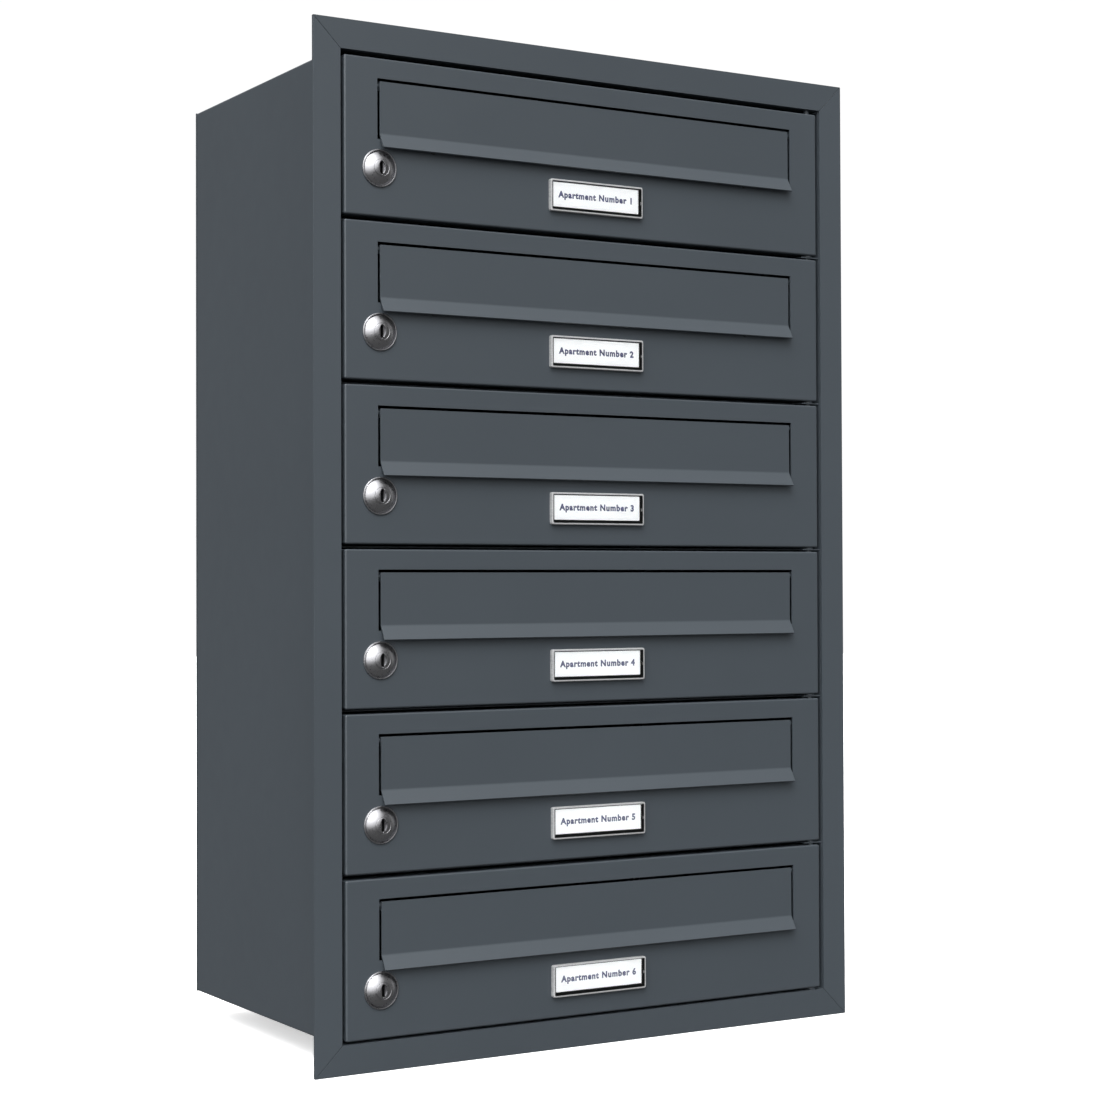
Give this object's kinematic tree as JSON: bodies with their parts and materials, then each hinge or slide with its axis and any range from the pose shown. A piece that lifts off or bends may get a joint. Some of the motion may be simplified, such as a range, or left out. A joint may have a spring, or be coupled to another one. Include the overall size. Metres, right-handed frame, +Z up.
{
  "type": "cluster mailbox unit",
  "caption": "Flush-mount cluster mailbox: a steel casing behind a mitred trim frame, with stacked lockable doors that each have a mail flap, a cam lock and a clear name plate.",
  "frame": {"origin": "centre of the four wall fixing holes, on the rear face of the back panel", "axes": "+Y into the wall, so the doors face -Y; +Z up along the column of compartments; +X to the right as seen from the front"},
  "size_m": [0.44, 0.2555, 0.7017],
  "materials": {
    "coat": "satin anthracite-grey powder coat",
    "zinc": "zinc-plated steel",
    "bright": "polished nickel-plated zinc casting",
    "clear": "clear polycarbonate"
  },
  "bodies": {
    "casing": {"casing": "coat", "back_panel": "coat", "shelves": "coat", "trim_top": "coat", "trim_bottom": "coat", "trim_left": "coat", "trim_right": "coat", "trim_corners": "zinc", "hinge_pins": "zinc", "lock_strikes": "zinc", "back_rivets": "zinc", "trim_screws": "zinc"},
    "door_1": {"door_1": "coat", "flap_rod_1": "zinc", "lock_barrel_1": "bright", "lock_nut_1": "zinc", "name_cover_1": "clear"},
    "flap_1": {"flap_1": "coat"},
    "lock_1": {"lock_plug_1": "bright", "lock_cam_1": "zinc"},
    "door_2": {"door_2": "coat", "flap_rod_2": "zinc", "lock_barrel_2": "bright", "lock_nut_2": "zinc", "name_cover_2": "clear"},
    "flap_2": {"flap_2": "coat"},
    "lock_2": {"lock_plug_2": "bright", "lock_cam_2": "zinc"},
    "door_3": {"door_3": "coat", "flap_rod_3": "zinc", "lock_barrel_3": "bright", "lock_nut_3": "zinc", "name_cover_3": "clear"},
    "flap_3": {"flap_3": "coat"},
    "lock_3": {"lock_plug_3": "bright", "lock_cam_3": "zinc"},
    "door_4": {"door_4": "coat", "flap_rod_4": "zinc", "lock_barrel_4": "bright", "lock_nut_4": "zinc", "name_cover_4": "clear"},
    "flap_4": {"flap_4": "coat"},
    "lock_4": {"lock_plug_4": "bright", "lock_cam_4": "zinc"},
    "door_5": {"door_5": "coat", "flap_rod_5": "zinc", "lock_barrel_5": "bright", "lock_nut_5": "zinc", "name_cover_5": "clear"},
    "flap_5": {"flap_5": "coat"},
    "lock_5": {"lock_plug_5": "bright", "lock_cam_5": "zinc"},
    "door_6": {"door_6": "coat", "flap_rod_6": "zinc", "lock_barrel_6": "bright", "lock_nut_6": "zinc", "name_cover_6": "clear"},
    "flap_6": {"flap_6": "coat"},
    "lock_6": {"lock_plug_6": "bright", "lock_cam_6": "zinc"}
  },
  "joints": [
    {"name": "door_1_hinge", "type": "hinge", "parent": "casing", "child": "door_1", "pos_m": [0.1916, -0.2448, 0.275], "axis": [0, 0, 1], "range_deg": [0, 110]},
    {"name": "flap_1_hinge", "type": "hinge", "parent": "door_1", "child": "flap_1", "pos_m": [-0.0004, -0.2465, 0.3103], "axis": [-1, 0, 0], "range_deg": [0, 80]},
    {"name": "lock_1_turn", "type": "hinge", "parent": "door_1", "child": "lock_1", "pos_m": [-0.1716, -0.2448, 0.254], "axis": [0, 1, 0], "range_deg": [0, 90]},
    {"name": "door_2_hinge", "type": "hinge", "parent": "casing", "child": "door_2", "pos_m": [0.1916, -0.2448, 0.165], "axis": [0, 0, 1], "range_deg": [0, 110]},
    {"name": "flap_2_hinge", "type": "hinge", "parent": "door_2", "child": "flap_2", "pos_m": [-0.0004, -0.2465, 0.2003], "axis": [-1, 0, 0], "range_deg": [0, 80]},
    {"name": "lock_2_turn", "type": "hinge", "parent": "door_2", "child": "lock_2", "pos_m": [-0.1716, -0.2448, 0.144], "axis": [0, 1, 0], "range_deg": [0, 90]},
    {"name": "door_3_hinge", "type": "hinge", "parent": "casing", "child": "door_3", "pos_m": [0.1916, -0.2448, 0.055], "axis": [0, 0, 1], "range_deg": [0, 110]},
    {"name": "flap_3_hinge", "type": "hinge", "parent": "door_3", "child": "flap_3", "pos_m": [-0.0004, -0.2465, 0.0903], "axis": [-1, 0, 0], "range_deg": [0, 80]},
    {"name": "lock_3_turn", "type": "hinge", "parent": "door_3", "child": "lock_3", "pos_m": [-0.1716, -0.2448, 0.034], "axis": [0, 1, 0], "range_deg": [0, 90]},
    {"name": "door_4_hinge", "type": "hinge", "parent": "casing", "child": "door_4", "pos_m": [0.1916, -0.2448, -0.055], "axis": [0, 0, 1], "range_deg": [0, 110]},
    {"name": "flap_4_hinge", "type": "hinge", "parent": "door_4", "child": "flap_4", "pos_m": [-0.0004, -0.2465, -0.0197], "axis": [-1, 0, 0], "range_deg": [0, 80]},
    {"name": "lock_4_turn", "type": "hinge", "parent": "door_4", "child": "lock_4", "pos_m": [-0.1716, -0.2448, -0.076], "axis": [0, 1, 0], "range_deg": [0, 90]},
    {"name": "door_5_hinge", "type": "hinge", "parent": "casing", "child": "door_5", "pos_m": [0.1916, -0.2448, -0.165], "axis": [0, 0, 1], "range_deg": [0, 110]},
    {"name": "flap_5_hinge", "type": "hinge", "parent": "door_5", "child": "flap_5", "pos_m": [-0.0004, -0.2465, -0.1297], "axis": [-1, 0, 0], "range_deg": [0, 80]},
    {"name": "lock_5_turn", "type": "hinge", "parent": "door_5", "child": "lock_5", "pos_m": [-0.1716, -0.2448, -0.186], "axis": [0, 1, 0], "range_deg": [0, 90]},
    {"name": "door_6_hinge", "type": "hinge", "parent": "casing", "child": "door_6", "pos_m": [0.1916, -0.2448, -0.275], "axis": [0, 0, 1], "range_deg": [0, 110]},
    {"name": "flap_6_hinge", "type": "hinge", "parent": "door_6", "child": "flap_6", "pos_m": [-0.0004, -0.2465, -0.2397], "axis": [-1, 0, 0], "range_deg": [0, 80]},
    {"name": "lock_6_turn", "type": "hinge", "parent": "door_6", "child": "lock_6", "pos_m": [-0.1716, -0.2448, -0.296], "axis": [0, 1, 0], "range_deg": [0, 90]}
  ]
}
